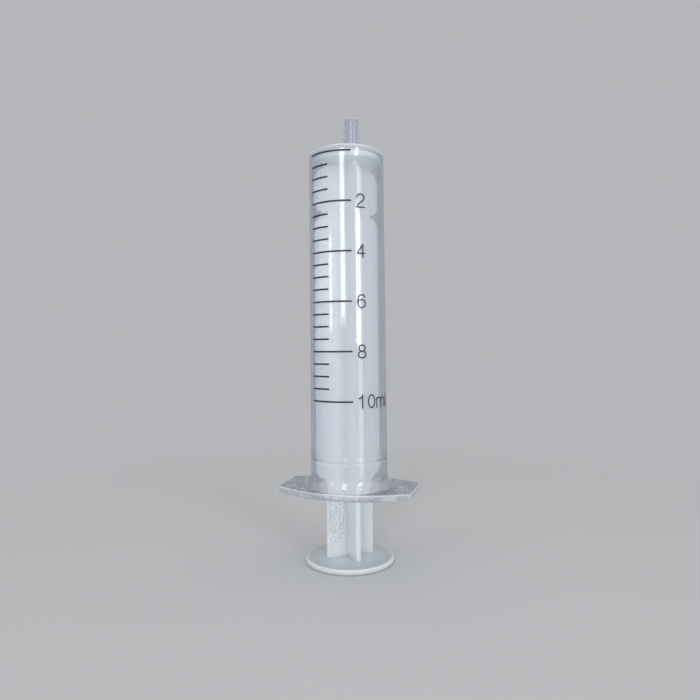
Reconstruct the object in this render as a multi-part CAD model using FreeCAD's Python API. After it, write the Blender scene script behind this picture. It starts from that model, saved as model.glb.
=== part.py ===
import FreeCAD, Part
import math
import os

from FreeCAD import Vector

# Disposable 10 ml syringe with a plain slip tip, all plastic, in two mouldings:
# a clear barrel and a milky plunger, standing upright on the thumb disc.
# Millimetres, +Z up, origin in the middle of the thumb disc's lower face. The
# flange is long along X, the scale faces -Y and the tip lies off-centre towards +Y.

# Barrel
bore_diameter = 15.6
side_wall_at_end = 0.6
side_wall_at_flange = 0.85
barrel_length = 76.8
end_wall = 1.2
end_corner_radius = 1.2
bore_end_chamfer = 0.35
bore_mouth_chamfer = 0.4

# Ring inside the bore that keeps the piston from being pulled out
bead_height = 0.12
bead_width = 1.2
bead_crest_width = 0.3
bead_above_flange = 6.1

# Finger flange
flange_thickness = 1.5
flange_length = 30.8
flange_end_width = 10.4
flange_end_crown = 0.2
flange_corner_radius = 0.6
flange_edge_chamfer = 0.2
flange_rim_beside_flare = 0.5
flare_height = 3.2
flare_radius = 5.9

# Slip tip with the 6 percent luer taper, measured at the gauge distance from its end
tip_length = 9.35
tip_gauge_diameter = 3.97
tip_gauge_distance = 0.75
tip_taper = 0.06
tip_axis_from_bore_wall = 3.2
tip_end_radius = 0.4
tip_base_chamfer = 0.4
tip_hole_diameter = 2.0
tip_funnel_diameter = 3.4
tip_funnel_depth = 0.8

# Plunger
stem_showing = 14.45
thumb_disc_beyond_barrel = 1.35
thumb_disc_thickness = 1.25
thumb_disc_edge_chamfer = 0.35
rib_thickness = 1.0
rib_root_radius = 0.8
rib_turn = 38.0
rib_step = 2.1
piston_thickness = 1.3
piston_front_chamfer = 0.4
piston_back_chamfer = 0.15
neck_length = 1.25
shoulder_radius = 3.3
guide_length = 5.0
notch_length = 0.25
step_height = 3.2
step_top_above_flange = 3.6

# Clearances between the plunger and the barrel
piston_end_clearance = 0.1
piston_bore_clearance = 0.075
rib_bead_clearance = 0.08

# Printed scale: a mark every half millilitre, a long one at every second millilitre
scale_capacity_ml = 10
marks_per_ml = 2
marks_per_long_mark = 4
marked_length = 54.0
zero_behind_piston_front = 0.45
mark_thickness = 0.28
ink_thickness = 0.05
mark_start_angle = -46.5
long_mark_angle = 70.4
short_mark_angle = 35.0

# Heights with the plunger pushed home
flange_z = thumb_disc_thickness + stem_showing
flange_top_z = flange_z + flange_thickness
barrel_end_z = flange_z + barrel_length
bore_end_z = barrel_end_z - end_wall
bead_z = flange_top_z + bead_above_flange
piston_front_z = bore_end_z - piston_end_clearance
piston_back_z = piston_front_z - piston_thickness
zero_mark_z = piston_front_z - zero_behind_piston_front

# Radii that follow from the diameters and clearances
bore_radius = bore_diameter / 2
piston_radius = bore_radius - piston_bore_clearance
wide_rib_radius = bore_radius - bead_height - rib_bead_clearance
narrow_rib_radius = wide_rib_radius - rib_step
tip_offset = bore_radius - tip_axis_from_bore_wall
thumb_disc_radius = bore_radius + side_wall_at_flange + thumb_disc_beyond_barrel

UP = Vector(0, 0, 1)
ORIGIN = Vector(0, 0, 0)


def line(a, b):
    return Part.LineSegment(a, b).toShape()


def arc(a, middle, b):
    return Part.Arc(a, middle, b).toShape()


def arc_about(centre, radius, start, end):
    """Arc in the XZ plane about a centre, from one angle to another in degrees."""
    points = []
    for angle in (start, (start + end) / 2, end):
        turn = math.radians(angle)
        points.append(centre + Vector(radius * math.cos(turn), 0, radius * math.sin(turn)))
    return arc(*points)


def face_of(edges):
    return Part.Face(Part.Wire(Part.__sortEdges__(edges)))


def polyline(points):
    return [line(a, b) for a, b in zip(points, points[1:])]


def turned(edges):
    """Solid of revolution about Z from a closed outline in the XZ plane."""
    return face_of(edges).revolve(ORIGIN, UP, 360)


def barrel_radius(z):
    """Outer radius of the barrel, which widens evenly from its end to its flange."""
    share = (barrel_end_z - z) / (barrel_end_z - flange_top_z)
    return bore_radius + side_wall_at_end + share * (side_wall_at_flange - side_wall_at_end)


def flare_edge():
    """Arc that carries the tube's side out into the flange, and its top and foot."""
    top_z = flange_top_z + flare_height
    top = Vector(barrel_radius(top_z), 0, top_z)
    end = 180 + math.degrees(math.asin(flare_height / flare_radius))
    flare = arc_about(top + Vector(flare_radius, 0, 0), flare_radius, 180, end)
    return flare, top, flare.Vertexes[-1].Point


def barrel_body():
    """Tapered tube as a full round bar, with the flare that runs into the flange."""
    flare, flare_top, flare_foot = flare_edge()
    corner_z = barrel_end_z - end_corner_radius
    corner_top = Vector(barrel_radius(corner_z), 0, corner_z)
    corner_centre = corner_top - Vector(end_corner_radius, 0, 0)
    corner = arc_about(corner_centre, end_corner_radius, 0, 90)
    top = Vector(0, 0, barrel_end_z)
    bottom = Vector(0, 0, flange_z)
    foot = Vector(flare_foot.x, 0, flange_z)
    edges = [flare, line(flare_top, corner_top), corner]
    edges += polyline([Vector(corner_centre.x, 0, barrel_end_z), top, bottom, foot, flare_foot])
    return turned(edges)


def finger_flange():
    """Plate with bowed long sides and slightly crowned ends, its corners rounded."""
    reach = flange_length / 2 - flange_end_crown
    half_end = flange_end_width / 2
    half_waist = flare_edge()[2].x + flange_rim_beside_flare
    half_length = flange_length / 2
    z = flange_z
    corners = [Vector(reach, -half_end, z), Vector(reach, half_end, z)]
    corners += [Vector(-reach, half_end, z), Vector(-reach, -half_end, z)]
    middles = [Vector(half_length, 0, z), Vector(0, half_waist, z)]
    middles += [Vector(-half_length, 0, z), Vector(0, -half_waist, z)]
    following = corners[1:] + corners[:1]
    edges = [arc(a, middle, b) for a, middle, b in zip(corners, middles, following)]
    plate = face_of(edges).extrude(Vector(0, 0, flange_thickness))
    uprights = [e for e in plate.Edges if abs(e.tangentAt(e.FirstParameter).z) > 0.99]
    plate = plate.makeFillet(flange_corner_radius, uprights)
    rims = [e for e in plate.Edges if abs(e.tangentAt(e.FirstParameter).z) < 0.01]
    return plate.makeChamfer(flange_edge_chamfer, rims)


def tip_radius(z):
    """Outer radius of the tapered tip at a height."""
    from_end = barrel_end_z + tip_length - z
    return (tip_gauge_diameter + tip_taper * (from_end - tip_gauge_distance)) / 2


def slip_tip():
    """Tapered tip on its own axis, rooted in the end wall with a small chamfer."""
    tip_end_z = barrel_end_z + tip_length
    round_z = tip_end_z - tip_end_radius
    round_start = Vector(tip_radius(round_z), 0, round_z)
    round_centre = round_start - Vector(tip_end_radius, 0, 0)
    rounding = arc_about(round_centre, tip_end_radius, 0, 90)
    base_z = barrel_end_z + tip_base_chamfer
    base = Vector(tip_radius(base_z), 0, base_z)
    foot = Vector(base.x + tip_base_chamfer, 0, barrel_end_z)
    root = Vector(foot.x, 0, barrel_end_z - end_wall / 2)
    axis_low = Vector(0, 0, root.z)
    axis_high = Vector(0, 0, tip_end_z)
    end = Vector(round_centre.x, 0, tip_end_z)
    edges = polyline([end, axis_high, axis_low, root, foot, base, round_start])
    return turned(edges + [rounding]).translated(Vector(0, tip_offset, 0))


def tip_hole():
    """Fluid way through the tip, with a funnel where it leaves the bore."""
    hole_radius = tip_hole_diameter / 2
    height = barrel_end_z + tip_length - bore_end_z
    hole = Part.makeCylinder(hole_radius, height + end_wall, Vector(0, tip_offset, bore_end_z))
    funnel_radius = tip_funnel_diameter / 2
    funnel_base = Vector(0, tip_offset, bore_end_z)
    return hole.fuse(Part.makeCone(funnel_radius, hole_radius, tip_funnel_depth, funnel_base))


def bore():
    """Inside of the barrel, with the mouth's chamfer and the groove that leaves the bead."""
    crest_radius = bore_radius - bead_height
    outline = [
        (0, flange_z),
        (bore_radius + bore_mouth_chamfer, flange_z),
        (bore_radius, flange_z + bore_mouth_chamfer),
        (bore_radius, bead_z - bead_width / 2),
        (crest_radius, bead_z - bead_crest_width / 2),
        (crest_radius, bead_z + bead_crest_width / 2),
        (bore_radius, bead_z + bead_width / 2),
        (bore_radius, bore_end_z - bore_end_chamfer),
        (bore_radius - bore_end_chamfer, bore_end_z),
        (0, bore_end_z),
    ]
    points = [Vector(radius, 0, z) for radius, z in outline]
    return turned(polyline(points + points[:1]))


def barrel():
    """Clear barrel: tube, flange and tip in one moulding."""
    outside = barrel_body().fuse([finger_flange(), slip_tip()]).removeSplitter()
    return outside.cut([bore(), tip_hole()])


def step_edges(low_z):
    """Two equal arcs that carry a rib from its narrow to its wide radius."""
    radius = (step_height ** 2 + rib_step ** 2) / (4 * rib_step)
    sweep = math.degrees(math.asin(step_height / 2 / radius))
    inner_centre = Vector(narrow_rib_radius + radius, 0, low_z)
    outer_centre = Vector(wide_rib_radius - radius, 0, low_z + step_height)
    lower = arc_about(inner_centre, radius, 180, 180 - sweep)
    upper = arc_about(outer_centre, radius, -sweep, 0)
    return lower, upper


def rib_side():
    """One edge of a rib from the thumb disc to the piston, as edges in the XZ plane."""
    low = narrow_rib_radius
    wide = wide_rib_radius
    shoulder = math.degrees(math.acos((shoulder_radius - rib_step) / shoulder_radius))
    shoulder_rise = shoulder_radius * math.sin(math.radians(shoulder))
    step_low_z = flange_top_z + step_top_above_flange - step_height
    neck_z = piston_back_z - neck_length
    guide_top_z = neck_z - shoulder_rise
    guide_low_z = guide_top_z - guide_length
    notch_top_z = guide_low_z - rib_step
    notch_low_z = notch_top_z - notch_length
    long_top_z = notch_low_z - shoulder_rise

    def at(radius, z):
        return Vector(radius, 0, z)

    edges = [line(at(low, thumb_disc_thickness / 2), at(low, step_low_z))]
    edges += step_edges(step_low_z)
    edges.append(line(at(wide, step_low_z + step_height), at(wide, long_top_z)))
    edges.append(arc_about(at(wide - shoulder_radius, long_top_z), shoulder_radius, 0, shoulder))
    edges.append(line(at(low, notch_low_z), at(low, notch_top_z)))
    edges.append(arc_about(at(low, guide_low_z), rib_step, 270, 360))
    edges.append(line(at(wide, guide_low_z), at(wide, guide_top_z)))
    edges.append(arc_about(at(wide - shoulder_radius, guide_top_z), shoulder_radius, 0, shoulder))
    edges.append(line(at(low, neck_z), at(low, piston_back_z + piston_thickness / 2)))
    return edges


def rib_plate():
    """A pair of opposite ribs as one flat plate across the axis."""
    right = rib_side()
    left = [edge.mirror(ORIGIN, Vector(1, 0, 0)) for edge in right]
    low_z = thumb_disc_thickness / 2
    high_z = piston_back_z + piston_thickness / 2
    across = Vector(narrow_rib_radius, 0, 0)
    ends = [line(UP * z - across, UP * z + across) for z in (low_z, high_z)]
    plate = face_of(right + left + ends).extrude(Vector(0, rib_thickness, 0))
    return plate.translated(Vector(0, -rib_thickness / 2, 0))


def ribs():
    """Cross of four ribs, rounded where they meet."""
    plate = rib_plate()
    crossing = plate.rotated(ORIGIN, UP, 90)
    cross = plate.fuse(crossing).removeSplitter()
    roots = []
    for edge in cross.Edges:
        middle = edge.CenterOfMass
        if math.hypot(middle.x, middle.y) < rib_thickness and edge.Length > stem_showing:
            roots.append(edge)
    cross = cross.makeFillet(rib_root_radius, roots)
    return cross.rotated(ORIGIN, UP, rib_turn)


def flat_disc(radius, low_z, high_z, low_chamfer, high_chamfer):
    """Flat disc with its lower and upper rims chamfered."""
    outline = [
        (0, low_z),
        (radius - low_chamfer, low_z),
        (radius, low_z + low_chamfer),
        (radius, high_z - high_chamfer),
        (radius - high_chamfer, high_z),
        (0, high_z),
    ]
    points = [Vector(r, 0, z) for r, z in outline]
    return turned(polyline(points + points[:1]))


def plunger():
    """Milky plunger: thumb disc, ribs and piston in one moulding."""
    thumb = flat_disc(thumb_disc_radius, 0, thumb_disc_thickness,
                      thumb_disc_edge_chamfer, thumb_disc_edge_chamfer)
    piston = flat_disc(piston_radius, piston_back_z, piston_front_z,
                       piston_back_chamfer, piston_front_chamfer)
    return ribs().fuse([thumb, piston]).removeSplitter()


def scale_mark(z, sweep):
    """One printed mark, a thin curved bar on the tapered barrel."""
    low = z - mark_thickness / 2
    high = z + mark_thickness / 2
    inner = [Vector(barrel_radius(low), 0, low), Vector(barrel_radius(high), 0, high)]
    ink = Vector(ink_thickness, 0, 0)
    corners = [inner[0], inner[0] + ink, inner[1] + ink, inner[1]]
    section = face_of(polyline(corners + corners[:1]))
    section.rotate(ORIGIN, UP, mark_start_angle - 90)
    return section.revolve(ORIGIN, UP, sweep)


def scale_print():
    """All the marks of the scale, from zero at the piston's front to the full capacity."""
    marks = []
    count = scale_capacity_ml * marks_per_ml
    for index in range(count + 1):
        z = zero_mark_z - index * marked_length / count
        is_long = index % marks_per_long_mark == 0
        marks.append(scale_mark(z, long_mark_angle if is_long else short_mark_angle))
    return Part.makeCompound(marks)


def main():
    os.makedirs("parts", exist_ok=True)
    pieces = {"barrel": barrel(), "plunger": plunger(), "scale_print": scale_print()}
    for name, shape in pieces.items():
        shape.exportStep("parts/" + name + ".step")
        print(name, len(shape.Solids), "solids", round(shape.Volume, 1), "mm3", shape.isValid())


main()
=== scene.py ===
import math

import bmesh
import bpy
import numpy as np
from mathutils import Matrix, Vector


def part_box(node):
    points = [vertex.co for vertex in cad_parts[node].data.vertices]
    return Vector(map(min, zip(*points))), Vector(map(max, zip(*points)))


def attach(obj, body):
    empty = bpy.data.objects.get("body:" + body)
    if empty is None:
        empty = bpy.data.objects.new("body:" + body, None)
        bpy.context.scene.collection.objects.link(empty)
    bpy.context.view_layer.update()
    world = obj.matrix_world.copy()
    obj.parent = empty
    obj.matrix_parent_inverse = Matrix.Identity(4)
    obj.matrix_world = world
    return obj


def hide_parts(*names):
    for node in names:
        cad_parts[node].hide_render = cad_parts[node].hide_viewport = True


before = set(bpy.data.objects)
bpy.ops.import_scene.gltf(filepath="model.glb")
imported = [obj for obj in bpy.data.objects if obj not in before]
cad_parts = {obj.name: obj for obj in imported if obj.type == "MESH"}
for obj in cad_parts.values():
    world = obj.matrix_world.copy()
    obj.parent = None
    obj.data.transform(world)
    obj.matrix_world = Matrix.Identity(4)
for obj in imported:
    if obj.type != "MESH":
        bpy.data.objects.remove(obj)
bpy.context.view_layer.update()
print("frame: loaded the packed syringe")

# Everything is worked out in millimetres and put into the meshes in metres.
mm = 0.001
barrelLow, barrelHigh = [np.array(corner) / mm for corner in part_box("barrel")]
plungerHigh = np.array(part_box("plunger")[1]) / mm
scaleLow, scaleHigh = [np.array(corner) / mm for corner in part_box("scale_print")]


# Camera first, because the lamps are placed from where it looks
cameraPlace = {
    "azimuth": math.radians(17.0),      # from -Y towards +X
    "distance": 140.59,                 # from the syringe's axis
    "height": 49.59,
    "sideways": 0.45,                   # to the camera's right
    "roll": 0.0099,                     # leans the top of the syringe left
    "lens": 31.763,
    "sensor": 36.0,
    "nearest": 5.0,                     # nothing closer to the camera is drawn
    "lift": 7.935 / 700,                # how far the picture is moved up, as a share of its side
}


def lookingAtAxis(turn):
    # Right, backwards and up for what looks at the axis from an angle, from -Y towards +X
    right = Vector((math.cos(turn), math.sin(turn), 0))
    back = Vector((math.sin(turn), -math.cos(turn), 0))
    return right, back, Vector((0, 0, 1))


def addCamera(place):
    # Level camera on a circle round the axis, turned a little about the line it looks along
    right, back, up = lookingAtAxis(place["azimuth"])
    tiltedRight = math.cos(place["roll"]) * right - math.sin(place["roll"]) * up
    tiltedUp = math.sin(place["roll"]) * right + math.cos(place["roll"]) * up
    spot = back * place["distance"] + up * place["height"] + tiltedRight * place["sideways"]
    data = bpy.data.cameras.new("camera")
    data.lens = place["lens"]
    data.sensor_width = place["sensor"]
    data.shift_y = -place["lift"]
    data.clip_start = place["nearest"] * mm
    camera = bpy.data.objects.new("camera", data)
    axes = Matrix((tiltedRight, tiltedUp, back)).transposed()
    camera.matrix_world = Matrix.Translation(spot * mm) @ axes.to_4x4()
    bpy.context.scene.collection.objects.link(camera)
    bpy.context.scene.camera = camera


addCamera(cameraPlace)
print("camera: placed")


# Meshes from grids of points

def addMesh(name, points, faces, sharpAngle=40):
    # One mesh object at the origin, smooth, with hard edges where faces meet at more than the angle
    mesh = bpy.data.meshes.new(name)
    mesh.from_pydata((points * mm).tolist(), [], faces)
    mesh.polygons.foreach_set("use_smooth", np.ones(len(mesh.polygons), bool))
    mesh.set_sharp_from_angle(angle=math.radians(sharpAngle))
    mesh.validate()
    piece = bpy.data.objects.new(name, mesh)
    bpy.context.scene.collection.objects.link(piece)
    return piece


def gridFaces(rows, columns, closedRows):
    # Quads between neighbouring rows, with the columns closed into a loop, and the rows too if asked
    row = np.arange(rows if closedRows else rows - 1)[:, None]
    column = np.arange(columns)[None, :]
    nextRow = (row + 1) % rows
    nextColumn = (column + 1) % columns
    corners = [row * columns + column, row * columns + nextColumn,
               nextRow * columns + nextColumn, nextRow * columns + column]
    return np.stack(np.broadcast_arrays(*corners), -1).reshape(-1, 4).tolist()


def arcPoints(centre, radius, start, end, count):
    # Points on a circle between two angles in degrees: centre plus radius times (cosine, sine)
    angle = np.radians(np.linspace(start, end, count))
    return np.stack([centre[0] + radius * np.cos(angle), centre[1] + radius * np.sin(angle)], -1)


def straight(start, end, count):
    # Evenly spaced points from start to end, both included
    share = np.linspace(0, 1, count)[:, None]
    return (1 - share) * np.array(start) + share * np.array(end)


def between(first, last, shares):
    # Rows part way from one ring to another: (1 - share) of the first plus share of the last
    share = np.array(shares)[:, None, None]
    return (1 - share) * first[None] + share * last[None]


def circles(profile, angle, centreY=0.0):
    # Points at the angles round a vertical axis, from a profile of radius and height
    radius, z = profile[:, :1], profile[:, 1:]
    x = radius * np.cos(angle)
    y = centreY + radius * np.sin(angle)
    return np.stack([x, y, z + 0 * x], -1)


def level(outline, z):
    # A flat outline as a ring of points at one height
    return np.column_stack([outline, np.full(len(outline), z)])


# Barrel, in millimetres
barrelShape = {
    "boreRadius": 7.8,
    "wallAtEnd": 0.6,
    "wallAtFlange": 0.85,
    "tipLength": 9.35,
    "endWall": 1.2,
    "endCorner": 1.2,
    "boreCorner": 0.4,
    "mouthChamfer": 0.4,
    "chamferStart": (0.1, 0.12),        # outwards and down from the bore's edge
    "ringAboveFlange": 6.1,
    "ringHeight": 0.12,
    "ringWidth": 1.2,
    "fineRings": 3,
    "fineRingWidth": 0.36,
    "fineRingHeight": 0.03,
    "ringBand": (1.75, -1.0),           # heights from the ring between which the rows lie close
    "flangeThickness": 1.5,
    "flangeEndWidth": 10.4,
    "flangeEndCrown": 0.2,
    "flangeCorner": 0.6,
    "flangeEdge": 0.3,
    "flareHeight": 3.2,
    "flareRadius": 5.9,
    "tipGaugeRadius": 1.985,
    "tipGaugeDistance": 0.75,
    "tipTaper": 0.03,                   # radius gained per length
    "tipOffset": 4.6,
    "tipEndRounding": 0.7,
    "tipRoot": 0.35,
    "holeRadius": 1.0,
    "holeEdge": 0.12,
    "funnelRadius": 1.7,
    "funnelDepth": 0.8,
    "quarterColumns": (14, 10, 58),     # on the flange's end, corner and side
    # Rows across flat faces, with one near each edge so that the face is shaded flat
    "flangeShares": (0.02, 0.15, 0.3, 0.45, 0.6, 0.75, 0.9, 0.98),
    "wallShares": (0.02, 0.2, 0.4, 0.6, 0.8, 0.98),
}
flangeZ = barrelLow[2]
flangeTopZ = flangeZ + barrelShape["flangeThickness"]
tipEndZ = barrelHigh[2]
barrelEndZ = tipEndZ - barrelShape["tipLength"]
boreEndZ = barrelEndZ - barrelShape["endWall"]
ringZ = flangeTopZ + barrelShape["ringAboveFlange"]


def barrelRadius(z):
    # Bore radius plus a wall that thickens evenly from the end to the flange
    share = (barrelEndZ - z) / (barrelEndZ - flangeTopZ)
    wall = barrelShape["wallAtEnd"] + share * (barrelShape["wallAtFlange"] - barrelShape["wallAtEnd"])
    return barrelShape["boreRadius"] + wall


def flareProfile(count):
    # Quarter-like arc from the flange's top up to the tube's side
    topZ = flangeTopZ + barrelShape["flareHeight"]
    radius = barrelShape["flareRadius"]
    angle = math.degrees(math.asin(barrelShape["flareHeight"] / radius))
    return arcPoints((barrelRadius(topZ) + radius, topZ), radius, 180 + angle, 180, count)


def flangeOutline(inset):
    # A quarter is the end's arc, the corner's arc and the side's arc, each with its radius less the
    # inset and its centre kept, so that the three stay tangent. The quarter is mirrored all round.
    shape = barrelShape
    length = barrelHigh[0]
    reach = length - shape["flangeEndCrown"]
    halfEnd = shape["flangeEndWidth"] / 2
    waist = barrelHigh[1]
    bow = waist - halfEnd
    sideRadius = (reach ** 2 + bow ** 2) / (2 * bow)
    endRadius = (halfEnd ** 2 + shape["flangeEndCrown"] ** 2) / (2 * shape["flangeEndCrown"])
    sideCentre = np.array([0, waist - sideRadius])
    endCentre = np.array([length - endRadius, 0])
    # The corner's centre lies a corner radius inside both arcs: where two circles cross
    sideReach = sideRadius - shape["flangeCorner"]
    endReach = endRadius - shape["flangeCorner"]
    gap = endCentre - sideCentre
    distance = np.hypot(*gap)
    along = (sideReach ** 2 - endReach ** 2 + distance ** 2) / (2 * distance)
    across = math.sqrt(sideReach ** 2 - along ** 2)
    step = gap / distance
    corner = sideCentre + along * step + across * np.array([step[1], -step[0]])
    endAngle = math.degrees(math.atan2(*(corner - endCentre)[::-1]))
    sideAngle = math.degrees(math.atan2(*(corner - sideCentre)[::-1]))
    onEnd, onCorner, onSide = shape["quarterColumns"]
    quarter = np.concatenate([
        arcPoints(endCentre, endRadius - inset, 0, endAngle, onEnd)[:-1],
        arcPoints(corner, shape["flangeCorner"] - inset, endAngle, sideAngle, onCorner)[:-1],
        arcPoints(sideCentre, sideRadius - inset, sideAngle, 90, onSide),
    ])
    first = quarter[:-1]
    second = quarter[:0:-1]
    return np.concatenate([first, second * [-1, 1], first * [-1, -1], second * [1, -1]])


columnAngle = np.arctan2(*flangeOutline(0).T[::-1])


def rings(profile, centreY=0.0):
    # Circles with the flange's columns
    return circles(profile, columnAngle, centreY)


def flangeRings(insets, heights):
    # The flange's outline at each inset and height
    return np.array([level(flangeOutline(inset), z) for inset, z in zip(insets, heights)])


def boreProfile():
    # From the end wall down to the mouth. The ring is a raised cosine, and its fine rings a sine on it
    shape = barrelShape
    radius = shape["boreRadius"]
    corner = shape["boreCorner"]
    bandTop, bandLow = ringZ + np.array(shape["ringBand"])
    above = arcPoints((radius - corner, boreEndZ - corner), corner, 90, 0, 8)
    high = straight((radius, boreEndZ - corner), (radius, bandTop + 0.05), 24)[1:]
    z = np.linspace(bandTop, bandLow, 76)
    offset = (z - ringZ) / (shape["ringWidth"] / 2)
    hump = np.where(abs(offset) < 1, 0.5 + 0.5 * np.cos(math.pi * offset), 0)
    fineStart = ringZ + shape["ringWidth"] / 2
    fine = np.clip((z - fineStart) / shape["fineRingWidth"], 0, shape["fineRings"])
    raised = shape["ringHeight"] * hump + shape["fineRingHeight"] * np.sin(math.pi * fine) ** 2
    band = np.stack([radius - raised, z], -1)
    mouth = shape["mouthChamfer"]
    low = straight((radius, bandLow - 0.1), (radius, flangeZ + mouth), 8)
    out, down = shape["chamferStart"]
    chamfer = straight((radius + out, flangeZ + mouth - down), (radius + mouth, flangeZ), 3)
    return np.concatenate([above, high, band, low, chamfer])


def tipRadius(z):
    # Radius at the gauge plus the taper times the distance below it
    shape = barrelShape
    return shape["tipGaugeRadius"] + shape["tipTaper"] * (tipEndZ - z - shape["tipGaugeDistance"])


def barrelRings():
    # One closed sheet: under the flange, round its edge, up the outside and the tip, down through
    # the hole, across the end wall and down the bore to where it started
    shape = barrelShape
    edge = shape["flangeEdge"]
    bend = np.radians(np.linspace(0, 90, 7))
    inset = edge * (1 - np.sin(bend))
    rise = edge * (1 - np.cos(bend))
    under = flangeRings([edge], [flangeZ])
    flare = flareProfile(16)
    lip = flangeRings(np.concatenate([inset, inset[::-1]]),
                      np.concatenate([flangeZ + rise, flangeTopZ - rise[::-1]]))
    cornerZ = barrelEndZ - shape["endCorner"]
    cornerX = barrelRadius(cornerZ) - shape["endCorner"]
    tube = straight(flare[-1], (barrelRadius(cornerZ), cornerZ), 26)[1:-1]
    endCorner = arcPoints((cornerX, cornerZ), shape["endCorner"], 0, 90, 12)
    root = shape["tipRoot"]
    rootZ = barrelEndZ + root
    tipRoot = arcPoints((tipRadius(rootZ) + root, rootZ), root, 270, 180, 8)
    rounding = shape["tipEndRounding"]
    roundZ = tipEndZ - rounding
    cone = straight((tipRadius(rootZ), rootZ), (tipRadius(roundZ), roundZ), 9)[1:-1]
    tipEnd = arcPoints((tipRadius(roundZ) - rounding, roundZ), rounding, 0, 90, 10)
    hole = shape["holeRadius"]
    holeEdge = shape["holeEdge"]
    holeLip = arcPoints((hole + holeEdge, tipEndZ - holeEdge), holeEdge, 90, 180, 4)
    funnelZ = boreEndZ + shape["funnelDepth"]
    way = straight((hole, tipEndZ - holeEdge), (hole, funnelZ), 9)[1:]
    funnel = straight((hole, funnelZ), (shape["funnelRadius"], boreEndZ), 4)[1:]
    tip = rings(np.concatenate([tipRoot, cone, tipEnd, holeLip, way, funnel]), shape["tipOffset"])
    outside = rings(np.concatenate([flare, tube, endCorner]))
    inside = rings(boreProfile())
    return np.concatenate([
        between(inside[-1], under[0], shape["wallShares"]),
        lip,
        between(lip[-1], outside[0], shape["flangeShares"]),
        outside,
        between(outside[-1], tip[0], shape["wallShares"]),
        tip,
        between(tip[-1], inside[0], shape["wallShares"]),
        inside,
    ])


slotLimits = {
    "end": 0.05,                        # height above the bore's end
    "edge": 1.0,                        # distance outside the bore
    "upright": 0.9,                     # an upright face's normal points up less than this
    "crest": 0.04,                      # distance inside the bore
    "crestHeights": (-1.0, 2.0),        # from the ring
}


def pickSlots(mesh):
    # The thick end and tip and the flange's edge scatter light, so they get the second material, and
    # the crests of the bore's rings the third. A face is picked by its centre and which way it looks.
    limits = slotLimits
    bore = barrelShape["boreRadius"]
    count = len(mesh.polygons)
    centre = np.empty(count * 3)
    normal = np.empty(count * 3)
    mesh.polygons.foreach_get("center", centre)
    mesh.polygons.foreach_get("normal", normal)
    x, y, z = centre.reshape(-1, 3).T / mm
    radius = np.hypot(x, y)
    upright = abs(normal.reshape(-1, 3)[:, 2]) < limits["upright"]
    low, high = limits["crestHeights"]
    onEnd = z > boreEndZ + limits["end"]
    onEdge = (z < flangeTopZ) & upright & (radius > bore + limits["edge"])
    onRing = (radius < bore - limits["crest"]) & (z - ringZ > low) & (z - ringZ < high)
    slots = np.where(onRing, 2, np.where(onEnd | onEdge, 1, 0)).astype(np.int32)
    mesh.polygons.foreach_set("material_index", slots)


def addBarrel():
    points = barrelRings()
    rows, columns = points.shape[:2]
    barrel = addMesh("barrel_moulding", points.reshape(-1, 3), gridFaces(rows, columns, True), 30)
    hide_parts("barrel")
    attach(barrel, "barrel")
    print("barrel:", rows, "rows of", columns, "points")
    return barrel


barrelPiece = addBarrel()


# Plunger, in millimetres
plungerShape = {
    "discRadius": plungerHigh[0],
    "discThickness": 1.25,
    "discRim": 0.45,
    "ribThickness": 1.0,
    "rootRadius": 0.8,
    "turn": 38.0,                       # of the first rib from +X
    "wideRadius": 7.6,
    "narrowRadius": 5.5,
    "ribEdge": 0.14,
    "footFillet": 0.35,
    "stepTopAboveFlange": 3.6,
    "stepHeight": 3.2,
    "shoulderRadius": 3.3,
    "guideLength": 5.0,
    "notchLength": 0.25,
    "neckLength": 1.25,
    "pistonThickness": 1.3,
    "pistonRadius": 7.725,
    "pistonFront": 0.5,
    "pistonBack": 0.2,
    "ribColumns": (6, 12, 5, 6),        # on half a root, a side, an edge and the end
    "poleRadius": 0.4,                  # of the innermost ring of points on disc and piston
    "flatGap": 0.03,                    # from a flat face's last ring to the rounding
    "discShares": (0.02, 0.15, 0.3, 0.5, 0.7, 0.85, 0.98),
    "pistonShares": (0.04, 0.3, 0.65, 0.96),
}


def crossOutline(reach, swell=0.0):
    # Four ribs out to the reach, with rounded roots between them. One rib runs from the middle of a
    # root along its lower side, round its end and back along the upper side to the next root. The
    # swell moves the whole outline outwards.
    shape = plungerShape
    onRoot, onSide, onEdge, onEnd = shape["ribColumns"]
    half = shape["ribThickness"] / 2 + swell
    root = shape["rootRadius"]
    rootCentre = shape["ribThickness"] / 2 + root
    edge = shape["ribEdge"] + swell
    end = reach + swell
    lower = np.concatenate([
        arcPoints((rootCentre, -rootCentre), root - swell, 135, 90, onRoot)[:-1],
        straight((rootCentre, -half), (end - edge, -half), onSide)[:-1],
        arcPoints((end - edge, edge - half), edge, -90, 0, onEdge)[:-1],
        straight((end, edge - half), (end, 0), onEnd),
    ])
    upper = lower[::-1] * [1, -1]
    rib = np.concatenate([lower[:-1], upper[:-1]])
    turns = np.radians(shape["turn"] + np.array([0, 90, 180, 270]))
    ribs = [np.column_stack([rib[:, 0] * math.cos(a) - rib[:, 1] * math.sin(a),
                             rib[:, 0] * math.sin(a) + rib[:, 1] * math.cos(a)]) for a in turns]
    return np.concatenate(ribs)


def crossRings(reaches, heights, swells=0.0):
    # The cross at each reach and height
    rows = zip(*np.broadcast_arrays(reaches, heights, swells))
    return np.array([level(crossOutline(reach, swell), z) for reach, z, swell in rows])


def discRings(profile):
    # Circles whose points lie evenly round, starting where the cross's outline starts
    count = len(crossOutline(plungerShape["narrowRadius"]))
    angle = math.radians(plungerShape["turn"] - 45) + 2 * math.pi * np.arange(count) / count
    return circles(profile, angle)


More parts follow.
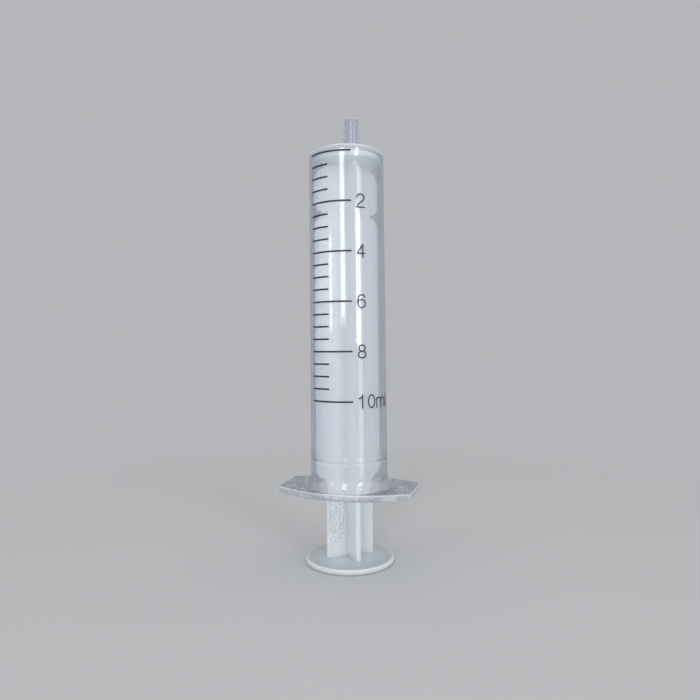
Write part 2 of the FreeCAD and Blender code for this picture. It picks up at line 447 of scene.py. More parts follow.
def ribProfile(pistonBackZ):
    # Reach and height of a rib's end, from the disc to the piston: narrow stem, an S of two equal
    # arcs, wide straight, shoulder arc, notch, quarter arc, guide, shoulder arc and neck
    shape = plungerShape
    low, wide = shape["narrowRadius"], shape["wideRadius"]
    change = wide - low
    stepHeight = shape["stepHeight"]
    stepLowZ = flangeTopZ + shape["stepTopAboveFlange"] - stepHeight
    bend = (stepHeight ** 2 + change ** 2) / (4 * change)
    sweep = math.degrees(math.asin(stepHeight / 2 / bend))
    shoulder = shape["shoulderRadius"]
    turn = math.degrees(math.acos((shoulder - change) / shoulder))
    drop = shoulder * math.sin(math.radians(turn))
    neckZ = pistonBackZ - shape["neckLength"]
    guideTopZ = neckZ - drop
    guideLowZ = guideTopZ - shape["guideLength"]
    notchTopZ = guideLowZ - change
    longTopZ = notchTopZ - shape["notchLength"] - drop
    startZ = shape["discThickness"] + shape["footFillet"]
    return np.concatenate([
        straight((low, startZ), (low, stepLowZ), 20)[:-1],
        arcPoints((low + bend, stepLowZ), bend, 180, 180 - sweep, 9)[:-1],
        arcPoints((wide - bend, stepLowZ + stepHeight), bend, -sweep, 0, 9)[:-1],
        straight((wide, stepLowZ + stepHeight), (wide, longTopZ), 36)[:-1],
        arcPoints((wide - shoulder, longTopZ), shoulder, 0, turn, 14),
        straight((low, notchTopZ - shape["notchLength"]), (low, notchTopZ), 3)[1:],
        arcPoints((low, guideLowZ), change, 270, 360, 12)[1:-1],
        straight((wide, guideLowZ), (wide, guideTopZ), 8)[:-1],
        arcPoints((wide - shoulder, guideTopZ), shoulder, 0, turn, 14),
        straight((low, neckZ), (low, pistonBackZ), 5)[1:],
    ])


def addPlunger():
    # Rows from the middle of the disc's lower face outwards, up the ribs and in to the middle of
    # the piston's front, with one point at each pole
    shape = plungerShape
    radius, thickness, rim = shape["discRadius"], shape["discThickness"], shape["discRim"]
    frontZ = plungerHigh[2]
    backZ = frontZ - shape["pistonThickness"]
    pistonRadius = shape["pistonRadius"]
    back, front = shape["pistonBack"], shape["pistonFront"]
    pole, gap = shape["poleRadius"], shape["flatGap"]
    disc = discRings(np.concatenate([
        straight((pole, 0), (radius - rim - gap, 0), 12),
        arcPoints((radius - rim, rim), rim, -90, 0, 9),
        arcPoints((radius - rim, thickness - rim), rim, 0, 90, 9),
    ]))
    fillet = np.radians(np.linspace(90, 0, 7))[:-1]
    foot = shape["footFillet"]
    feet = crossRings(shape["narrowRadius"], thickness + foot * (1 - np.sin(fillet)),
                      foot * (1 - np.cos(fillet)))
    ribs = crossRings(*ribProfile(backZ).T)
    piston = discRings(np.concatenate([
        arcPoints((pistonRadius - back, backZ + back), back, -90, 0, 5),
        arcPoints((pistonRadius - front, frontZ - front), front, 0, 90, 9),
        straight((pistonRadius - front - gap, frontZ), (pole, frontZ), 12),
    ]))
    points = np.concatenate([
        disc,
        between(disc[-1], feet[0], shape["discShares"]),
        feet,
        ribs,
        between(ribs[-1], piston[0], shape["pistonShares"]),
        piston,
    ])
    rows, columns = points.shape[:2]
    count = rows * columns
    poles = np.array([[0, 0, 0], [0, 0, frontZ]])
    column = np.arange(columns)
    following = (column + 1) % columns
    last = count - columns
    lowFan = np.column_stack([np.full(columns, count), following, column])
    highFan = np.column_stack([np.full(columns, count + 1), last + column, last + following])
    faces = gridFaces(rows, columns, False) + lowFan.tolist() + highFan.tolist()
    plunger = addMesh("plunger_moulding", np.concatenate([points.reshape(-1, 3), poles]), faces, 35)
    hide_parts("plunger")
    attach(plunger, "plunger")
    print("plunger:", rows, "rows of", columns, "points")
    return plunger


plungerPiece = addPlunger()


# Printed scale: marks and plain numerals, as ribbons of ink wrapped on the barrel
scaleShape = {
    "markWidth": 0.28,
    "lineWidth": 0.36,                  # as inked, a little wider than the solid marks
    "inkThickness": 0.05,
    "sunk": 0.01,                       # how far the ink's back lies inside the barrel's surface
    "sectionPoints": 8,
    "squareness": 0.2,                  # power of the section's cosines and sines: 1 is an ellipse
    "capAngles": (78, 55, 30, 12),      # degrees round an open strip's end
    "markStart": -46.5,                 # degrees from -Y towards +X
    "longSweep": 70.4,
    "shortSweep": 35.0,
    "marksPerMl": 2,
    "marksPerLong": 4,
    "capacity": 10,
    "numeralHeight": 3.05,
    "numeralStroke": 0.28,
    "numeralStart": 31.6,
}
zeroZ = scaleHigh[2] - scaleShape["markWidth"] / 2
fullZ = scaleLow[2] + scaleShape["markWidth"] / 2


def onBarrel(along, z, height):
    # A distance round the barrel from -Y becomes an angle there, and a height above its surface a radius
    angle = along / barrelRadius(z)
    radius = barrelRadius(z) + height
    return np.stack([radius * np.sin(angle), -radius * np.cos(angle), z], -1)


def bezier(points, count=14):
    # Cubic curves end to end, each the usual weighted sum of its four points
    t = np.linspace(0, 1, count)[:, None]
    pieces = [np.array(points[:1], float)]
    for first in range(0, len(points) - 3, 3):
        a, b, c, d = np.array(points[first:first + 4], float)
        curve = (1 - t) ** 3 * a + 3 * t * (1 - t) ** 2 * b + 3 * t ** 2 * (1 - t) * c + t ** 3 * d
        pieces.append(curve[1:])
    return np.concatenate(pieces)


def ellipse(centre, halfWidth, halfHeight, count=40):
    # Closed loop without its last point
    angle = np.linspace(0, 2 * math.pi, count, endpoint=False)
    return np.column_stack([centre[0] + halfWidth * np.cos(angle), centre[1] + halfHeight * np.sin(angle)])


def ribbon(path, width, closed):
    # A rounded strip along a flat path. Its section is a squared ellipse. An open strip gets round
    # ends, where the half width falls as a cosine while the path runs on as a sine.
    shape = scaleShape
    count = shape["sectionPoints"]
    if closed:
        ahead = np.roll(path, -1, 0) - np.roll(path, 1, 0)
    else:
        ahead = np.gradient(path, axis=0)
    ahead /= np.linalg.norm(ahead, axis=1)[:, None]
    half = np.full(len(path), width / 2)
    if not closed:
        t = np.radians(shape["capAngles"])[:, None]
        before = path[:1] - ahead[:1] * width / 2 * np.sin(t)
        after = path[-1:] + ahead[-1:] * width / 2 * np.sin(t[::-1])
        path = np.concatenate([before, path, after])
        ahead = np.pad(ahead, ((len(t), len(t)), (0, 0)), "edge")
        cap = width / 2 * np.cos(t[:, 0])
        half = np.concatenate([cap, half, cap[::-1]])
    side = np.column_stack([-ahead[:, 1], ahead[:, 0]])
    angle = 2 * math.pi * (np.arange(count) + 0.5) / count
    across = np.sign(np.cos(angle)) * abs(np.cos(angle)) ** shape["squareness"]
    upward = np.sign(np.sin(angle)) * abs(np.sin(angle)) ** shape["squareness"]
    flat = path[:, None] + side[:, None] * (half[:, None] * across)[..., None]
    height = (shape["inkThickness"] + shape["sunk"]) * (upward + 1) / 2 - shape["sunk"]
    height = np.broadcast_to(height, flat.shape[:2])
    points = onBarrel(flat[..., 0], flat[..., 1], height)
    faces = gridFaces(len(path), count, closed)
    if not closed:
        last = len(path) * count
        faces += [list(range(count)), list(range(last - 1, last - count - 1, -1))]
    return points.reshape(-1, 3), faces


def turnOutwards(mesh):
    shell = bmesh.new()
    shell.from_mesh(mesh)
    bmesh.ops.recalc_face_normals(shell, faces=shell.faces)
    shell.to_mesh(mesh)
    shell.free()


def addInk(name, ribbons):
    # All the ribbons as one mesh, their faces turned outwards
    points, faces, start = [], [], 0
    for part, partFaces in ribbons:
        points.append(part)
        faces += [[start + corner for corner in face] for face in partFaces]
        start += len(part)
    piece = addMesh(name, np.concatenate(points), faces, 50)
    turnOutwards(piece.data)
    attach(piece, "barrel")
    return piece


def addMarks():
    shape = scaleShape
    inset = shape["lineWidth"] / 2
    count = shape["capacity"] * shape["marksPerMl"]
    ribbons = []
    for index in range(count + 1):
        z = zeroZ + (fullZ - zeroZ) * index / count
        sweep = shape["longSweep"] if index % shape["marksPerLong"] == 0 else shape["shortSweep"]
        start = math.radians(shape["markStart"]) * barrelRadius(z) + inset
        end = math.radians(shape["markStart"] + sweep) * barrelRadius(z) - inset
        path = straight((start, z), (end, z), 60)
        ribbons.append(ribbon(path, shape["lineWidth"], False))
    marks = addInk("scale_marks", ribbons)
    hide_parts("scale_print")
    print("scale:", len(ribbons), "marks")
    return marks


# Strokes of each numeral in a cell one high: curves as cubic points, loops as centre and half sizes
numeralStrokes = {
    "0": [("loop", (0.345, 0.5), 0.305, 0.5)],
    "1": [("curve", [(0.05, 0.76), (0.20, 0.77), (0.31, 0.84), (0.33, 1.0)]),
          ("line", [(0.33, 1.0), (0.33, 0.0)])],
    "2": [("curve", [(0.03, 0.75), (0.03, 0.91), (0.15, 1.0), (0.33, 1.0), (0.51, 1.0), (0.62, 0.89),
                     (0.62, 0.73), (0.62, 0.42), (0.09, 0.36), (0.03, 0.0)]),
          ("line", [(0.03, 0.0), (0.64, 0.0)])],
    "4": [("line", [(0.48, 0.0), (0.48, 1.0)]),
          ("line", [(0.48, 1.0), (0.02, 0.31)]),
          ("line", [(0.02, 0.31), (0.65, 0.31)])],
    "6": [("curve", [(0.60, 0.80), (0.57, 0.93), (0.48, 1.0), (0.36, 1.0), (0.13, 1.0), (0.03, 0.77),
                     (0.03, 0.46), (0.03, 0.16), (0.13, 0.0), (0.34, 0.0), (0.52, 0.0), (0.64, 0.13),
                     (0.64, 0.32), (0.64, 0.50), (0.52, 0.63), (0.35, 0.63), (0.18, 0.63), (0.05, 0.52),
                     (0.035, 0.34)])],
    "8": [("loop", (0.34, 0.755), 0.255, 0.245), ("loop", (0.34, 0.255), 0.31, 0.255)],
    "m": [("line", [(0.04, 0.0), (0.04, 0.74)]),
          ("curve", [(0.04, 0.50), (0.05, 0.66), (0.16, 0.75), (0.32, 0.75), (0.50, 0.75), (0.57, 0.66),
                     (0.57, 0.50), (0.57, 0.33), (0.57, 0.17), (0.57, 0.0)]),
          ("curve", [(0.57, 0.50), (0.59, 0.66), (0.70, 0.75), (0.86, 0.75), (1.04, 0.75), (1.10, 0.66),
                     (1.10, 0.50), (1.10, 0.33), (1.10, 0.17), (1.10, 0.0)])],
    "l": [("line", [(0.04, 0.0), (0.04, 1.0)])],
}
# From the start of each numeral to the start of the next
numeralAdvance = {"0": 0.84, "1": 0.8, "2": 0.8, "4": 0.8, "6": 0.8, "8": 0.8, "m": 1.32, "l": 0.3}


def numeralRibbons(text, z):
    # The text's letters side by side, centred on the mark's height. A stroke's middle stays half its
    # width inside the numeral's height.
    stroke = scaleShape["numeralStroke"]
    tall = scaleShape["numeralHeight"] - stroke
    along = math.radians(scaleShape["numeralStart"]) * barrelRadius(z)
    ribbons = []
    for letter in text:
        origin = np.array([along, z - tall / 2])
        for kind, *form in numeralStrokes[letter]:
            if kind == "loop":
                path = ellipse(*form)
            elif kind == "curve":
                path = bezier(form[0])
            else:
                path = straight(*form[0], 12)
            ribbons.append(ribbon(origin + path * tall, stroke, kind == "loop"))
        along += numeralAdvance[letter] * tall
    return ribbons


def addNumerals():
    shape = scaleShape
    step = shape["marksPerLong"] // shape["marksPerMl"]
    ribbons = []
    for value in range(step, shape["capacity"] + 1, step):
        text = str(value) + ("ml" if value == shape["capacity"] else "")
        z = zeroZ + (fullZ - zeroZ) * value / shape["capacity"]
        ribbons += numeralRibbons(text, z)
    numerals = addInk("scale_numerals", ribbons)
    print("scale:", len(ribbons), "strokes of numerals")
    return numerals


marksPiece = addMarks()
numeralsPiece = addNumerals()


# Shader helpers

number = "NodeSocketFloat"
vector = "NodeSocketVector"


def addNode(tree, kind, settings=None, **inputs):
    # A node with its settings and socket values: i0 is its first socket, and other names are labels.
    # A value that is a socket is linked.
    node = tree.nodes.new(kind)
    for key, value in (settings or {}).items():
        setattr(node, key, value)
    for key, value in inputs.items():
        byNumber = key[0] == "i" and key[1:].isdigit()
        socket = node.inputs[int(key[1:]) if byNumber else key.replace("_", " ")]
        if isinstance(value, bpy.types.NodeSocket):
            tree.links.new(value, socket)
        else:
            socket.default_value = value
    return node


def newGroup(name, inputs, outputs):
    # An empty shader group with its sockets, each a label and a kind
    group = bpy.data.node_groups.new(name, "ShaderNodeTree")
    for way, sockets in (("INPUT", inputs), ("OUTPUT", outputs)):
        for label, kind in sockets.items():
            group.interface.new_socket(name=label, in_out=way, socket_type=kind)
    return group, group.nodes.new("NodeGroupInput").outputs, group.nodes.new("NodeGroupOutput").inputs


def useGroup(tree, group, **inputs):
    return addNode(tree, "ShaderNodeGroup", {"node_tree": group}, **inputs).outputs


def maths(tree, operation, a, b=0.0, c=0.0):
    return addNode(tree, "ShaderNodeMath", {"operation": operation}, i0=a, i1=b, i2=c).outputs[0]


def product(tree, first, *others):
    for other in others:
        first = maths(tree, "MULTIPLY", first, other)
    return first


def largest(tree, first, *others):
    for other in others:
        first = maths(tree, "MAXIMUM", first, other)
    return first


def vectorMaths(tree, operation, a, **inputs):
    return addNode(tree, "ShaderNodeVectorMath", {"operation": operation}, i0=a, **inputs).outputs


def fade(tree, value, limits, low=0.0, high=1.0):
    # Low at the first limit, high at the second, and evenly between
    node = addNode(tree, "ShaderNodeMapRange", i0=value, i1=limits[0], i2=limits[1], i3=low, i4=high)
    return node.outputs[0]


def noise(tree, place, scale, detail):
    return addNode(tree, "ShaderNodeTexNoise", Vector=place, Scale=scale, Detail=detail).outputs[0]


def split(tree, place):
    return addNode(tree, "ShaderNodeSeparateXYZ", Vector=place).outputs


def fromAxis(tree, parts):
    # Distance from the vertical axis: the length of (x, y)
    flat = addNode(tree, "ShaderNodeCombineXYZ", X=parts["X"], Y=parts["Y"]).outputs[0]
    return vectorMaths(tree, "LENGTH", flat)["Value"]


def mixColors(tree, first, *layers):
    # Each layer is the share and the colour that covers what lies below. Colours are three numbers.
    color = (*first, 1)
    for share, layer in layers:
        mixed = addNode(tree, "ShaderNodeMix", {"data_type": "RGBA"}, i0=share, i6=color, i7=(*layer, 1))
        color = mixed.outputs[2]
    return color


def mixShaders(tree, share, first, second):
    return addNode(tree, "ShaderNodeMixShader", i0=share, i1=first, i2=second).outputs[0]


def addTo(tree, value, *additions):
    # Each addition is a mask and the amount that is added where it is one
    for mask, amount in additions:
        value = maths(tree, "MULTIPLY_ADD", mask, amount, value)
    return value


def addBump(tree, height, depth, strength=1.0, after=None):
    # Depth is in millimetres for a height of one
    bump = addNode(tree, "ShaderNodeBump", Height=height, Distance=depth * mm, Strength=strength)
    if after is not None:
        tree.links.new(after, bump.inputs["Normal"])
    return bump.outputs[0]


def startMaterial(name):
    # A cleared material with object coordinates in millimetres
    material = bpy.data.materials.new(name)
    material.use_nodes = True
    tree = material.node_tree
    tree.nodes.clear()
    place = addNode(tree, "ShaderNodeTexCoord").outputs["Object"]
    scaled = addNode(tree, "ShaderNodeMapping", Vector=place, Scale=(1 / mm, 1 / mm, 1 / mm))
    return material, tree, scaled.outputs[0]


def finishTree(tree, shader, kind="ShaderNodeOutputMaterial"):
    output = addNode(tree, kind)
    tree.links.new(shader, output.inputs["Surface"])


# Groups shared by the materials. They give heights, masks, varying roughness and normals only.

def mouldedSkinGroup():
    # Slow ripples from the flow of the plastic and a fine satin grain, as a height and a roughness,
    # and the slow cloud behind the roughness
    group, given, wanted = newGroup(
        "mouldedSkin",
        {"Place": vector, "Ripple Size": number, "Grain Size": number, "Grain Share": number,
         "Shine Low": number, "Shine High": number},
        {"Height": number, "Roughness": number, "Cloud": number})
    place = given["Place"]
    rippleScale = maths(group, "DIVIDE", 1.0, given["Ripple Size"])
    grainScale = maths(group, "DIVIDE", 1.0, given["Grain Size"])
    drawnOut = addNode(group, "ShaderNodeMapping", Vector=place, Scale=(1, 1, 0.3)).outputs[0]
    ripple = noise(group, drawnOut, rippleScale, 2.0)
    grain = noise(group, place, grainScale, 3.0)
    height = addTo(group, ripple, (grain, given["Grain Share"]))
    cloud = noise(group, place, 0.35, 4.0)
    spread = maths(group, "SUBTRACT", given["Shine High"], given["Shine Low"])
    roughness = addTo(group, given["Shine Low"], (cloud, spread))
    group.links.new(height, wanted["Height"])
    group.links.new(roughness, wanted["Roughness"])
    group.links.new(cloud, wanted["Cloud"])
    return group


def facetGroup():
    # Spark-eroded grain: each small cell leans its own way, so that some of them flash. The tilt is
    # the most that a cell's normal leans, and the shade is one number for each cell.
    group, given, wanted = newGroup(
        "facets",
        {"Place": vector, "Normal": vector, "Facet Size": number, "Tilt": number},
        {"Normal": vector, "Shade": number})
    scale = maths(group, "DIVIDE", 1.0, given["Facet Size"])
    cells = addNode(group, "ShaderNodeTexVoronoi", Vector=given["Place"], Scale=scale).outputs["Color"]
    lean = vectorMaths(group, "SUBTRACT", cells, i1=(0.5, 0.5, 0.5))[0]
    leaning = vectorMaths(group, "SCALE", lean, Scale=given["Tilt"])[0]
    total = vectorMaths(group, "ADD", leaning, i1=given["Normal"])[0]
    group.links.new(vectorMaths(group, "NORMALIZE", total)[0], wanted["Normal"])
    group.links.new(split(group, cells)["X"], wanted["Shade"])
    return group


def scuffGroup():
    # Fine handling scratches: thin crossings of two stretched noises, kept where a slow noise is high
    group, given, wanted = newGroup(
        "scuffs",
        {"Place": vector, "Length": number, "Width": number, "Amount": number},
        {"Mask": number})
    along = maths(group, "DIVIDE", 1.0, given["Length"])
    across = maths(group, "DIVIDE", 1.0, given["Width"])
    sizes = addNode(group, "ShaderNodeCombineXYZ", X=across, Y=across, Z=along).outputs[0]
    masks = []
    for turn in ((0.3, 0.5, 0.2), (-0.5, 0.2, 1.1)):
        turned = addNode(group, "ShaderNodeMapping", Vector=given["Place"], Rotation=turn).outputs[0]
        lines = noise(group, vectorMaths(group, "MULTIPLY", turned, i1=sizes)[0], 1.0, 1.0)
        away = maths(group, "ABSOLUTE", maths(group, "SUBTRACT", lines, 0.5))
        masks.append(fade(group, away, (0.012, 0.0)))
    slow = noise(group, given["Place"], 0.4, 2.0)
    kept = fade(group, slow, (maths(group, "SUBTRACT", 0.75, given["Amount"]), 0.8))
    group.links.new(product(group, largest(group, *masks), kept), wanted["Mask"])
    return group


mouldedSkin = mouldedSkinGroup()
facets = facetGroup()
scuffs = scuffGroup()


# Polypropylene of the barrel: clear, hazy where it is thick, and pale on the crests in the bore
clearFinish = {
    "name": "clearPolypropylene",
    "color": (0.955, 0.975, 1.0),
    "edgeColor": (0.16, 0.23, 0.39),
    "edgeBlend": 0.37,
    "speckleColor": (0.28, 0.32, 0.40),
    # Pale smudges and scratches, and the painted highlight on the flange's rounded edge
    "paleColor": (0.93, 0.95, 0.97),
    "tipColor": (0.38, 0.40, 0.49),
    "ior": 1.49,
    "transmission": 0.86,
    "shineLow": 0.02,
    "shineHigh": 0.06,
    "shadowTint": (0.965, 0.972, 0.985),
}
hazyFinish = {
    **clearFinish,
    "name": "hazyPolypropylene",
    "color": (0.63, 0.66, 0.71),
    # A lighter colour towards the edges: a painted rim highlight on the tip and the flange's edge
    "edgeColor": (0.95, 0.95, 0.98),
    "edgeBlend": 0.42,
    "speckleColor": (0.56, 0.59, 0.66),
    "transmission": 0.5,
    "shineLow": 0.06,
    "shineHigh": 0.10,
    "shadowTint": (0.86, 0.87, 0.90),
}
ringFinish = {
    **clearFinish,
    "name": "ringPolypropylene",
    "color": (0.86, 0.89, 0.94),
    "edgeColor": (0.80, 0.84, 0.90),
    "edgeBlend": 0.3,
    "transmission": 0.75,
}

# Where a look of the barrel fades in, from none at the first number to all of it at the second
barrelZones = {
    "flangeReach": (9.7, 10.1),         # from the axis
    "flangeTop": (flangeTopZ + 0.1, flangeTopZ + 0.02),
    "flare": (flangeTopZ + 4.5, flangeTopZ + 3.0),
    "tip": (barrelEndZ + 0.2, barrelEndZ + 1.2),
    "roundedTop": (flangeTopZ - 0.3, flangeTopZ - 0.22),
    "roundedLean": (0.97, 0.9),         # how far up the surface looks
    "smudges": (0.52, 0.68),
    "speckle": (0.2, 1.0),
}


def barrelPlastic(finish):
    zones = barrelZones
    material, tree, place = startMaterial(finish["name"])
    skin = useGroup(tree, mouldedSkin, Place=place, Ripple_Size=2.6, Grain_Size=0.2, Grain_Share=0.02,
                    Shine_Low=finish["shineLow"], Shine_High=finish["shineHigh"])
    marks = useGroup(tree, scuffs, Place=place, Length=5.0, Width=0.10, Amount=0.35)["Mask"]
    # Masks of the textured flange, the flare, the tip and the rounding of the flange's upper edge
    parts = split(tree, place)
    onFlange = product(tree, fade(tree, fromAxis(tree, parts), zones["flangeReach"]),
                       fade(tree, parts["Z"], zones["flangeTop"]))
    onFlare = product(tree, fade(tree, parts["Z"], zones["flare"]), maths(tree, "SUBTRACT", 1.0, onFlange))
    onTip = fade(tree, parts["Z"], zones["tip"])
    lean = split(tree, addNode(tree, "ShaderNodeTexCoord").outputs["Normal"])["Z"]
    onRounding = product(tree, fade(tree, lean, zones["roundedLean"]),
                         fade(tree, parts["Z"], zones["roundedTop"]), onFlange)
    # Scuffs and all of these are less glossy, the tip is smoother and the flange is spark-eroded
    rough = addTo(tree, skin["Roughness"], (marks, 0.12), (onFlange, 0.14), (onFlare, 0.05), (onTip, 0.07))
    bump = addBump(tree, skin["Height"], 0.007, fade(tree, onTip, (0.0, 1.0), 1.0, 0.1))
    grain = useGroup(tree, facets, Place=place, Normal=bump, Facet_Size=0.4,
                     Tilt=product(tree, onFlange, 0.5))
    # Speckle, smudges and scratches on the flange, a painted highlight as thin pale light on its rounding,
    # and a greyer tip
    # Towards grazing angles the colour turns to the edge colour: a darker bluish tint in the clear and ring
    # plastics, and a painted rim highlight in the hazy plastic
    facing = addNode(tree, "ShaderNodeLayerWeight", Blend=finish["edgeBlend"]).outputs["Facing"]
    speckle = product(tree, onFlange, fade(tree, grain["Shade"], zones["speckle"], 0.0, 0.75))
    smudge = product(tree, onFlange, fade(tree, skin["Cloud"], zones["smudges"], 0.0, 0.7))
    pale = largest(tree, smudge, product(tree, onFlange, marks), onRounding)
    grey = product(tree, onTip, 0.55, maths(tree, "SUBTRACT", 1.0, facing))
    color = mixColors(tree, finish["color"], (facing, finish["edgeColor"]), (speckle, finish["speckleColor"]),
                      (pale, finish["paleColor"]), (grey, finish["tipColor"]))
    plastic = addNode(tree, "ShaderNodeBsdfPrincipled", Base_Color=color, Roughness=rough, IOR=finish["ior"],
                      Transmission_Weight=finish["transmission"], Normal=grain["Normal"]).outputs[0]
    # Shadows and scattered light pass through as a plain tint
    tint = addNode(tree, "ShaderNodeBsdfTransparent", Color=(*finish["shadowTint"], 1)).outputs[0]
    rays = addNode(tree, "ShaderNodeLightPath").outputs
    soft = mixShaders(tree, rays["Is Diffuse Ray"], plastic, tint)
    finishTree(tree, mixShaders(tree, rays["Is Shadow Ray"], soft, tint))
    return material


# Milky polyethylene of the plunger
milkyFinish = {
    "color": (0.71, 0.76, 0.80),
    "cloudColor": (0.65, 0.70, 0.74),
    "grainColor": (0.60, 0.66, 0.71),
    # White painted glints on the spark-eroded patch
    "glintColor": (1.0, 1.0, 1.0),
    # Painted shade on the disc's upper face away from the stem
    "discShadeColor": (0.38, 0.42, 0.445),
    # Painted glow of the ribs' ends and edges, and of the painted highlight streaks
    "glowColor": (0.80, 0.88, 0.96),
    "ior": 1.51,
    "depth": 3.0,                       # how far light spreads inside, in millimetres
    "shineLow": 0.12,
    "shineHigh": 0.22,
}

# Where a look of the plunger fades in, as for the barrel. Along and across are of a rib.
milkyZones = {
    "patchAlong": (1.5, 1.8),
    "patchAcross": (0.56, 0.53),
    "patchSide": (0.1, 0.2),
    "patchFoot": (2.0, 6.0),
    "patchTop": (18.0, 14.5),
    "glints": (0.72, 0.8),
    "discLow": (1.22, 1.24),
    "discHigh": (1.5, 1.3),
    "discOutwards": (3.5, 8.5),
    "narrowEnd": (plungerShape["narrowRadius"] - 0.3, plungerShape["narrowRadius"] - 0.1),
    "narrowTop": (19.0, 17.0),
    "wideEnd": (plungerShape["wideRadius"] - 0.35, plungerShape["wideRadius"] - 0.15),
    "aboveDisc": (1.5, 2.5),
    "streaks": (0.48, 0.66),
}


def milkyPlastic():
    finish, zones = milkyFinish, milkyZones
    material, tree, place = startMaterial("milkyPolyethylene")
    skin = useGroup(tree, mouldedSkin, Place=place, Ripple_Size=2.0, Grain_Size=0.15, Grain_Share=0.06,
                    Shine_Low=finish["shineLow"], Shine_High=finish["shineHigh"])
    marks = useGroup(tree, scuffs, Place=place, Length=4.0, Width=0.12, Amount=0.3)["Mask"]
    # Turned so that the ribs lie along X and Y. One face of each rib of one pair is spark-eroded.
    turned = addNode(tree, "ShaderNodeMapping", {"vector_type": "TEXTURE"}, Vector=place,
                     Rotation=(0, 0, math.radians(plungerShape["turn"]))).outputs[0]
    parts = split(tree, turned)
    height = parts["Z"]
    patch = product(tree, fade(tree, maths(tree, "ABSOLUTE", parts["X"]), zones["patchAlong"]),
                    fade(tree, maths(tree, "ABSOLUTE", parts["Y"]), zones["patchAcross"]),
                    fade(tree, product(tree, parts["X"], parts["Y"]), zones["patchSide"]),
                    fade(tree, height, zones["patchFoot"]), fade(tree, height, zones["patchTop"], 0.12, 1.0))
    # Fine draw lines run along the axis
    lengthwise = addNode(tree, "ShaderNodeMapping", Vector=turned, Scale=(6, 6, 0.04)).outputs[0]
    lines = noise(tree, lengthwise, 1.0, 2.0)
    bump = addBump(tree, lines, 0.01, 0.6, addBump(tree, skin["Height"], 0.02))
    grain = useGroup(tree, facets, Place=place, Normal=bump, Facet_Size=0.3,
                     Tilt=product(tree, patch, 1.1))
    # Painted glints: the patch's brightest cells are painted white into the base colour
    glint = product(tree, patch, fade(tree, grain["Shade"], zones["glints"]))
    # The disc's upper face gets painted shade, greyer away from the stem where less light spreads out from
    # it, and is glossier
    distance = fromAxis(tree, parts)
    onDisc = product(tree, fade(tree, height, zones["discLow"]), fade(tree, height, zones["discHigh"]))
    outward = product(tree, fade(tree, distance, zones["discOutwards"], 0.2, 1.0), onDisc)
    rough = addTo(tree, skin["Roughness"], (marks, 0.08), (patch, -0.08), (onDisc, -0.06))
    # Painted light: a painted glow on the ribs' ends and thin edges, and painted highlight streaks along the
    # axis
    narrowEnd = product(tree, fade(tree, distance, zones["narrowEnd"]),
                        fade(tree, height, zones["narrowTop"]))
    ends = product(tree, largest(tree, narrowEnd, fade(tree, distance, zones["wideEnd"])),
                   fade(tree, height, zones["aboveDisc"], 0.0, 0.9))
    streaks = product(tree, fade(tree, lines, zones["streaks"], 0.0, 0.7),
                      fade(tree, height, zones["aboveDisc"]))
    grazing = addNode(tree, "ShaderNodeLayerWeight", Blend=0.2).outputs["Facing"]
    glow = largest(tree, ends, streaks, product(tree, grazing, 0.5))
    color = mixColors(tree, finish["color"], (skin["Cloud"], finish["cloudColor"]),
                      (product(tree, patch, 0.8), finish["grainColor"]), (glint, finish["glintColor"]),
                      (outward, finish["discShadeColor"]), (glow, finish["glowColor"]))
    plastic = addNode(tree, "ShaderNodeBsdfPrincipled", Base_Color=color, Roughness=rough,
                      IOR=finish["ior"], Subsurface_Weight=1.0, Subsurface_Radius=(1.0, 1.0, 1.0),
                      Subsurface_Scale=finish["depth"] * mm, Normal=grain["Normal"])
    finishTree(tree, plastic.outputs[0])
    return material


# Ink of the scale
inkFinish = {
    "color": (0.008, 0.012, 0.022),
    "thinColor": (0.018, 0.026, 0.045),
    "roughness": (0.45, 0.65),          # where the ink is thick and where it is thin
}


def scaleInk():
    finish = inkFinish
    material, tree, place = startMaterial("scaleInk")
    thin = noise(tree, place, 5.0, 4.0)
    thickRough, thinRough = finish["roughness"]
    rough = maths(tree, "MULTIPLY_ADD", thin, thinRough - thickRough, thickRough)
    color = mixColors(tree, finish["color"], (thin, finish["thinColor"]))
    ink = addNode(tree, "ShaderNodeBsdfPrincipled", Base_Color=color, Roughness=rough,
                  Normal=addBump(tree, thin, 0.01))
    finishTree(tree, ink.outputs[0])
    return material


def dress(piece, *materials):
    piece.data.materials.clear()
    for material in materials:
        piece.data.materials.append(material)


clearMaterial = barrelPlastic(clearFinish)
hazyMaterial = barrelPlastic(hazyFinish)
ringMaterial = barrelPlastic(ringFinish)
milkyMaterial = milkyPlastic()
inkMaterial = scaleInk()
dress(barrelPiece, clearMaterial, hazyMaterial, ringMaterial)
pickSlots(barrelPiece.data)
dress(plungerPiece, milkyMaterial)
dress(marksPiece, inkMaterial)
dress(numeralsPiece, inkMaterial)
dress(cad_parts["barrel"], clearMaterial)
dress(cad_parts["plunger"], milkyMaterial)
dress(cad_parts["scale_print"], inkMaterial)
print("materials: clear, hazy, ring, milky and ink")


# Studio: a pale round floor, even light all round and soft lamps
studio = {
    "skyColor": (0.46, 0.47, 0.485),
    "skyLight": 0.47,
    "floorColor": (0.545, 0.555, 0.57),
    "floorRings": (2.0, 40.0, 120.0, 300.0, 700.0, 1500.0, 3000.0, 6000.0),
    "floorColumns": 96,
    "floorFade": (25.0, 210.0),         # distances between which the floor turns into the sky
}


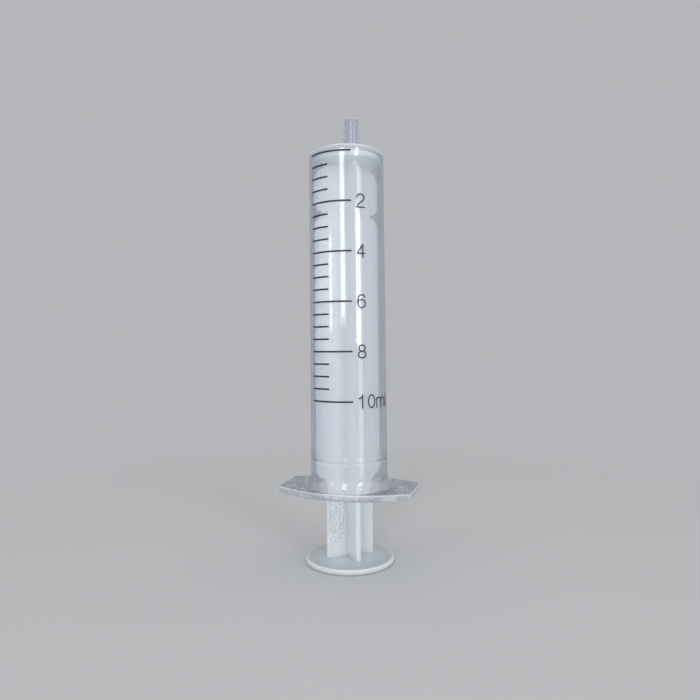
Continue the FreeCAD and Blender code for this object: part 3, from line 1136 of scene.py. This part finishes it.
def addFloor():
    # Flat rings from the middle outwards: each point is a radius times (cosine, sine)
    columns = studio["floorColumns"]
    radius = np.array(studio["floorRings"])[:, None]
    angle = 2 * math.pi * np.arange(columns) / columns
    points = np.stack([radius * np.cos(angle), radius * np.sin(angle), 0 * radius * angle], -1)
    faces = [face[::-1] for face in gridFaces(len(radius), columns, False)] + [list(range(columns))]
    floor = addMesh("floor", points.reshape(-1, 3), faces)
    material, tree, place = startMaterial("paleFloor")
    far = fade(tree, vectorMaths(tree, "LENGTH", place)["Value"], studio["floorFade"])
    far.node.interpolation_type = "SMOOTHERSTEP"
    near = addNode(tree, "ShaderNodeBsdfDiffuse", Color=(*studio["floorColor"], 1)).outputs[0]
    sky = addNode(tree, "ShaderNodeEmission", Color=(*studio["skyColor"], 1)).outputs[0]
    finishTree(tree, mixShaders(tree, far, near, sky))
    dress(floor, material)
    # The syringe stands on its thumb disc, so the floor stays under it when the plunger is drawn out
    floor.parent = plungerPiece


def addSky():
    # Even light, with a plain colour where the camera, gloss and clear plastic see it
    world = bpy.data.worlds.new("studio")
    bpy.context.scene.world = world
    world.use_nodes = True
    tree = world.node_tree
    tree.nodes.clear()
    light = addNode(tree, "ShaderNodeBackground", Color=(1, 1, 1, 1), Strength=studio["skyLight"])
    seen = addNode(tree, "ShaderNodeBackground", Color=(*studio["skyColor"], 1))
    rays = addNode(tree, "ShaderNodeLightPath").outputs
    seenBy = largest(tree, rays["Is Glossy Ray"], rays["Is Transmission Ray"], rays["Is Camera Ray"])
    finishTree(tree, mixShaders(tree, seenBy, light.outputs[0], seen.outputs[0]), "ShaderNodeOutputWorld")


# Soft boxes: degrees round from the camera, distance, low and high edge, width and brightness
softBoxes = {
    "leftStrip": (-13.5, 500.0, 78.0, 326.0, 88.0, 4.5),
    "leftGlow": (-13.5, 498.0, 70.0, 334.0, 150.0, 3.0),
    "rightStrip": (33.0, 500.0, 46.0, 190.0, 112.0, 9.0),
    "tipStrip": (33.0, 500.0, 274.0, 320.0, 84.0, 11.0),
    "sideStrip": (-52.0, 500.0, 62.0, 160.0, 60.0, 5.0),
}

# One more overhead shades the upright faces gently
topBox = {"height": 750.0, "side": 600.0, "glow": 1.6}


def addLamp(name, spot, axes, width, height, glow):
    # A rectangle of light the camera doesn't see. Its power is its glow times its area times pi.
    light = bpy.data.lights.new(name, "AREA")
    light.shape = "RECTANGLE"
    light.size = width * mm
    light.size_y = height * mm
    light.energy = glow * math.pi * width * height * mm ** 2
    lamp = bpy.data.objects.new(name, light)
    lamp.matrix_world = Matrix.Translation(spot * mm) @ Matrix(axes).transposed().to_4x4()
    lamp.visible_camera = False
    bpy.context.scene.collection.objects.link(lamp)


def addSoftBox(name, degrees, distance, low, high, width, glow):
    # Upright, and facing the axis
    right, outwards, up = lookingAtAxis(cameraPlace["azimuth"] + math.radians(degrees))
    spot = outwards * distance + up * (low + high) / 2
    addLamp(name, spot, (right, up, outwards), width, high - low, glow)


addFloor()
addSky()
for boxName, softBox in softBoxes.items():
    addSoftBox(boxName, *softBox)
addLamp("topBox", Vector((0, 0, topBox["height"])), ((1, 0, 0), (0, 1, 0), (0, 0, 1)),
        topBox["side"], topBox["side"], topBox["glow"])
bpy.context.scene.view_settings.view_transform = "Standard"
print("studio: floor, sky and soft boxes")
